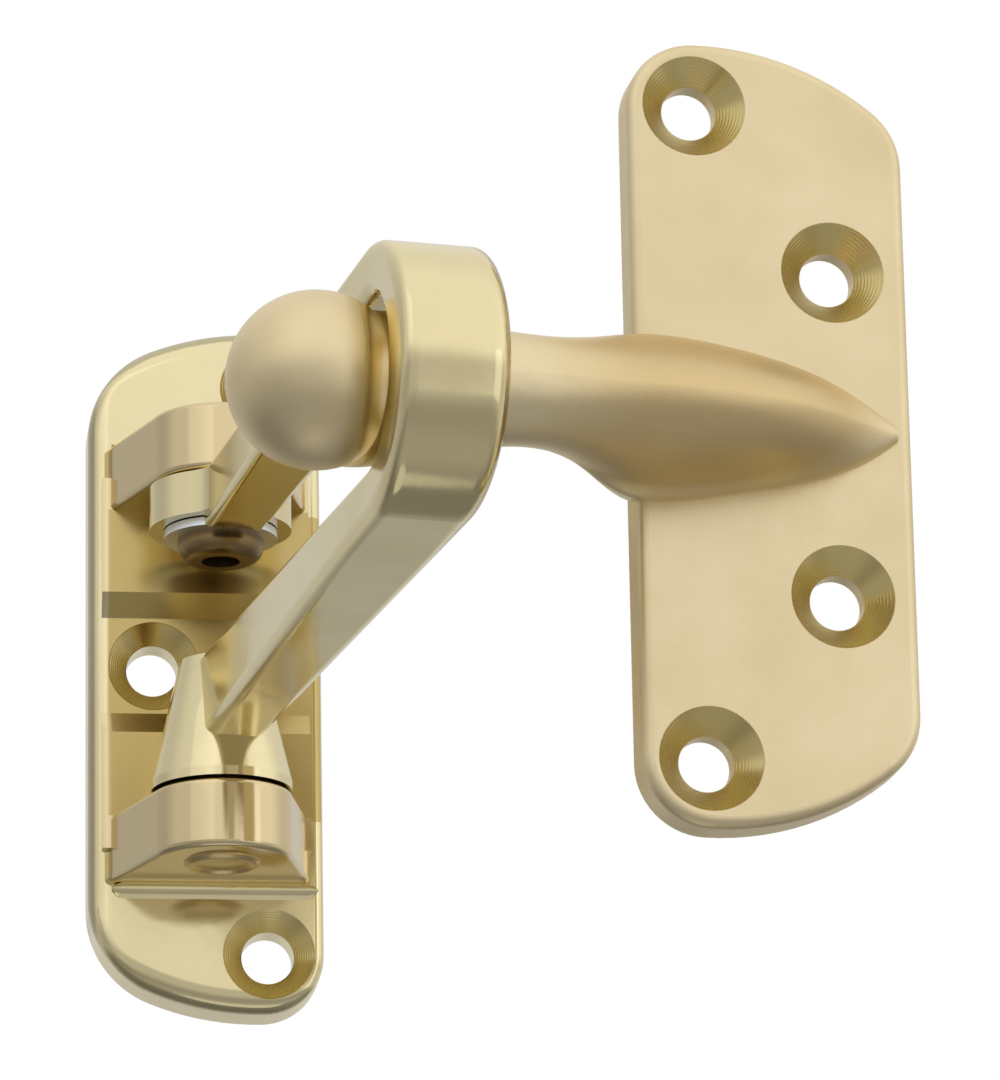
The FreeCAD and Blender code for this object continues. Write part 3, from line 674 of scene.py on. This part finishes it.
@dataclass
class FramePlate:
    """Plate with two ears on the door frame."""

    thick: float = 5.2 * MM
    hole: float = 5.2 * MM
    sink: float = 9.1 * MM
    hinge_x: float = 0.85 * MM
    ear_out: float = 22.45 * MM
    bead_radius: float = 1.3 * MM
    bead_root: float = 0.3 * MM
    bead_half: float = 10.2 * MM
    bead_points: int = 9
    bead_rows: int = 40
    bead_ends: float = 12.0
    holes: dict[str, tuple[float, float]] = field(
        default_factory=lambda: {
            "middle": (-5.15 * MM, 0.0),
            "top": (6.15 * MM, 29.2 * MM),
            "bottom": (6.15 * MM, -29.2 * MM),
        }
    )

    def build(self, nodes: dict[str, bpy.types.Object]) -> None:
        """Dresses the plate and lines its countersinks.

        Args:
            nodes: CAD objects by node name.
        """
        dress(nodes["frame_plate"], EDGED.make())
        turned = TURNED.make()
        for name, (x, z) in self.holes.items():
            spot = (x, -self.thick, z)
            seat = Countersink(f"frame_seat_{name}", spot, (0.0, -1.0, 0.0), self.hole, self.sink)
            seat.build(turned, "polished_brass", Body.FRAME)
        brass = bpy.data.materials[EDGED.name]
        for name, sign in (("upper", 1.0), ("lower", -1.0)):
            self.bead(name, sign).build(brass, "polished_brass", Body.FRAME)

    def bead(self, name: str, sign: float) -> Surface:
        """Draws the small fillet where an ear's outer side meets the plate.

        A quarter circle with a corner in the metal is carried along x, and shrinks to a point at
        both ends with the root of the distance from them.

        Args:
            name: Ear's name.
            sign: Side of the plate's middle, up or down.

        Returns:
            Swept surface with closed ends.
        """
        turn = np.linspace(0.0, np.pi / 2, self.bead_points)
        out = np.append(self.bead_radius * (1 - np.sin(turn)), -self.bead_root)
        away = np.append(self.bead_radius * (1 - np.cos(turn)), -self.bead_root)
        level = sign * (self.ear_out + away)
        section = np.stack([np.zeros_like(out), -self.thick - out, level], -1)
        middle = section.mean(0)
        share = np.linspace(-1.0, 1.0, self.bead_rows)
        taper = np.clip((1 - np.abs(share)) * self.bead_ends, 0.0, 1.0) ** 0.5
        taper[[0, -1]] = 0.0
        points = middle + taper[:, None, None] * (section - middle)
        points[:, :, 0] = (self.hinge_x + share * self.bead_half)[:, None]
        return Surface(f"ear_bead_{name}", points)


@dataclass
class SwingBar:
    """Hinged loop."""

    def build(self, nodes: dict[str, bpy.types.Object]) -> None:
        """Dresses the loop.

        Args:
            nodes: CAD objects by node name.
        """
        dress(nodes["swing_bar"], POLISHED.make())


@dataclass
class BallPlate:
    """Plate with a horn and a ball on the door."""

    base: Point = (46.398 * MM, -69.273 * MM, 3.55 * MM)
    turn: float = math.radians(5.0)
    thick: float = 4.1 * MM
    hole: float = 5.1 * MM
    sink: float = 9.7 * MM
    ball: Point = (3.928 * MM, -85.236 * MM, 3.55 * MM)
    holes: dict[str, tuple[float, float]] = field(
        default_factory=lambda: {
            "end_top": (-6.7 * MM, 31.0 * MM),
            "end_bottom": (-6.7 * MM, -31.0 * MM),
            "side_top": (5.9 * MM, 15.45 * MM),
            "side_bottom": (5.9 * MM, -15.45 * MM),
        }
    )

    def build(self, nodes: dict[str, bpy.types.Object]) -> None:
        """Dresses the plate and lines its countersinks.

        Args:
            nodes: CAD objects by node name.
        """
        across = (math.cos(self.turn), math.sin(self.turn), 0.0)
        out = (math.sin(self.turn), -math.cos(self.turn), 0.0)
        finish = BallMetal(**SATIN, centre=self.ball, axis=across, out=out, root=self.base)
        dress(nodes["ball_plate"], finish.make())
        turned = bpy.data.materials[TURNED.name]
        for name, (x, z) in self.holes.items():
            spot = Vector(self.base) + x * Vector(across) + self.thick * Vector(out)
            spot += Vector((0, 0, z))
            seat = Countersink(f"ball_seat_{name}", tuple(spot), out, self.hole, self.sink)
            seat.build(turned, "satin_brass", Body.DOOR)


@dataclass
class Pivots:
    """Rivets and washer on the hinge line."""

    x: float = 0.85 * MM
    y: float = -14.8 * MM
    pin: float = 2.7 * MM
    head: float = 3.75 * MM
    ear_out: float = 22.45 * MM
    pin_end: float = 9.8 * MM
    lip: float = 0.42 * MM
    lip_share: float = 0.86
    lip_width: float = 0.11
    dish: float = 0.14 * MM
    rows: int = 40

    def build(self, nodes: dict[str, bpy.types.Object]) -> None:
        """Dresses the pivots and gives the lower rivet its dished head.

        The head falls evenly from its rim to its middle, plus a bell-shaped lip near the rim.

        Args:
            nodes: CAD objects by node name.
        """
        # Painted shade on the upper rivet's end under the eye.
        dress(nodes["pivot_rivet_upper"], SHADED_RIVET.make())
        dress(nodes["washer_upper"], ZINC.make())
        steps = [
            (0.0, -self.pin_end),
            (self.pin, -self.pin_end),
            (self.pin, -self.ear_out),
            (self.head, -self.ear_out),
        ]
        radius = np.linspace(self.head, 0.0, self.rows)
        share = radius / self.head
        lip = self.lip * np.exp(-(((share - self.lip_share) / self.lip_width) ** 2))
        dish = np.stack([radius, -self.ear_out - self.dish * (1 - share) - lip], -1)
        profile = np.concatenate([np.asarray(steps), dish])
        grid = spun(profile, (self.x, self.y, 0.0), (0.0, 0.0, 1.0))
        piece = Surface("lower_rivet_dished", grid).build(RIVET.make(), "rivet_bronze", Body.FRAME)
        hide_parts("pivot_rivet_lower")


@dataclass
class Studio:
    """Floor, lights, world and camera."""

    look: Point = (21.48 * MM, -73.48 * MM, -7.31 * MM)
    azimuth: float = math.radians(6.88)
    rise: float = math.radians(16.98)
    roll: float = math.radians(-1.06)
    distance: float = 0.6
    focal_pixels: float = 6690.0
    frame_high: float = 1080.0
    floor_level: float = -0.42
    floor_radius: float = 0.12
    floor_rings: int = 12
    floor_colour: Colour = (0.7, 0.7, 0.68)
    sky_peak: float = 1.2
    sky_colour: Colour = (1.2, 1.185, 1.14)
    front_level: float = 0.57
    rear_level: float = 0.66
    sensor: float = 36.0

    def floor(self) -> None:
        """Makes a round pale floor well below the part."""
        radius = np.linspace(0.0, self.floor_radius, self.floor_rings)
        profile = np.stack([radius, np.zeros_like(radius)], -1)
        points = spun(profile, (0.0, 0.0, self.floor_level), (0.0, 0.0, 1.0))
        material = bpy.data.materials.new("pale_floor")
        material.use_nodes = True
        shader = material.node_tree.nodes["Principled BSDF"]
        shader.inputs["Base Color"].default_value = (*self.floor_colour, 1.0)
        shader.inputs["Roughness"].default_value = 0.8
        floor = Surface("floor", points).shape(material)

    def world(self) -> None:
        """Makes the white background and what the metal mirrors."""
        world = bpy.data.worlds.new("studio")
        bpy.context.scene.world = world
        world.use_nodes = True
        tree = world.node_tree
        graph = Graph(tree)
        ray = graph.node("ShaderNodeLightPath", {}, out="Is Camera Ray")
        way = graph.node("ShaderNodeTexCoord", {}, out="Generated")
        x, y, z = (graph.node("ShaderNodeSeparateXYZ", {0: way}, out=axis) for axis in range(3))
        down = -1.0 * z
        # Each step's number is how much brighter or darker the light gets in that direction.
        front = self.front_level + 0.45 * graph.step(z, 0.0, 0.32)
        front = front - 0.22 * graph.step(down, 0.3, 0.6) + 0.06 * graph.step(down, 0.68, 0.9)
        rear = self.rear_level - 0.43 * graph.step(down, 0.1, 0.6) + 0.25 * graph.step(z, 0.2, 0.8)
        behind = graph.step(y, -0.2, 0.4)
        level = front * (1.0 - behind) + rear * behind
        sides = 1.0 - 0.24 * graph.step(-1.0 * x, 0.2, 0.9) + 0.08 * graph.step(x, 0.2, 0.9)
        tone = graph.blend(level * sides / self.sky_peak, (0.0, 0.0, 0.0), self.sky_colour)
        seen = graph.blend(ray, tone, (1.0, 1.0, 1.0))
        tree.links.new(seen.socket, tree.nodes["Background"].inputs["Color"])

    def lamp(self, name: str, spot: Point, size: float, power: float) -> None:
        """Adds a soft lamp that faces the part.

        Args:
            name: Lamp's name.
            spot: Place in metres.
            size: Side of the lamp in metres.
            power: Watts.
        """
        light = bpy.data.lights.new(name, "AREA")
        light.size = size
        light.energy = power
        lamp = bpy.data.objects.new(name, light)
        lamp.location = spot
        aim = Vector(self.look) - Vector(spot)
        lamp.rotation_euler = aim.to_track_quat("-Z", "Y").to_euler()
        bpy.context.scene.collection.objects.link(lamp)

    def camera(self) -> None:
        """Places the camera at the photograph's angle."""
        forward = Vector(
            (
                math.sin(self.azimuth) * math.cos(self.rise),
                math.cos(self.azimuth) * math.cos(self.rise),
                math.sin(self.rise),
            )
        )
        level = Vector((math.cos(self.azimuth), -math.sin(self.azimuth), 0.0))
        upward = level.cross(forward)
        right = math.cos(self.roll) * level + math.sin(self.roll) * upward
        top = math.cos(self.roll) * upward - math.sin(self.roll) * level
        lens = bpy.data.cameras.new("camera")
        lens.sensor_fit = "VERTICAL"
        lens.sensor_height = self.sensor
        lens.lens = self.sensor * self.focal_pixels / self.frame_high
        lens.clip_start = 0.01
        eye = bpy.data.objects.new("camera", lens)
        turn = Matrix((right, top, -forward)).transposed().to_4x4()
        eye.matrix_world = Matrix.Translation(Vector(self.look) - self.distance * forward) @ turn
        bpy.context.scene.collection.objects.link(eye)
        bpy.context.scene.camera = eye

    def build(self) -> None:
        """Sets up the whole studio."""
        self.floor()
        self.world()
        self.lamp("key", (-0.45, -0.65, 0.5), 0.7, 0.25)
        self.lamp("fill", (0.55, -0.6, -0.05), 0.5, 0.3)
        self.camera()
        bpy.context.scene.view_settings.view_transform = "Standard"


def dress(node: bpy.types.Object, material: bpy.types.Material) -> None:
    """Gives a CAD object its material.

    Args:
        node: CAD object.
        material: Finish.
    """
    node.data.materials.clear()
    node.data.materials.append(material)


def main() -> None:
    """Builds the scene in order."""
    logging.basicConfig(level=logging.INFO, format="%(message)s")
    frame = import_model()
    nodes = frame["nodes"]
    for assembly in (FramePlate(), SwingBar(), BallPlate(), Pivots()):
        assembly.build(nodes)
        LOG.info("built %s", type(assembly).__name__)
    Studio().build()


if __name__ == "__main__":
    main()
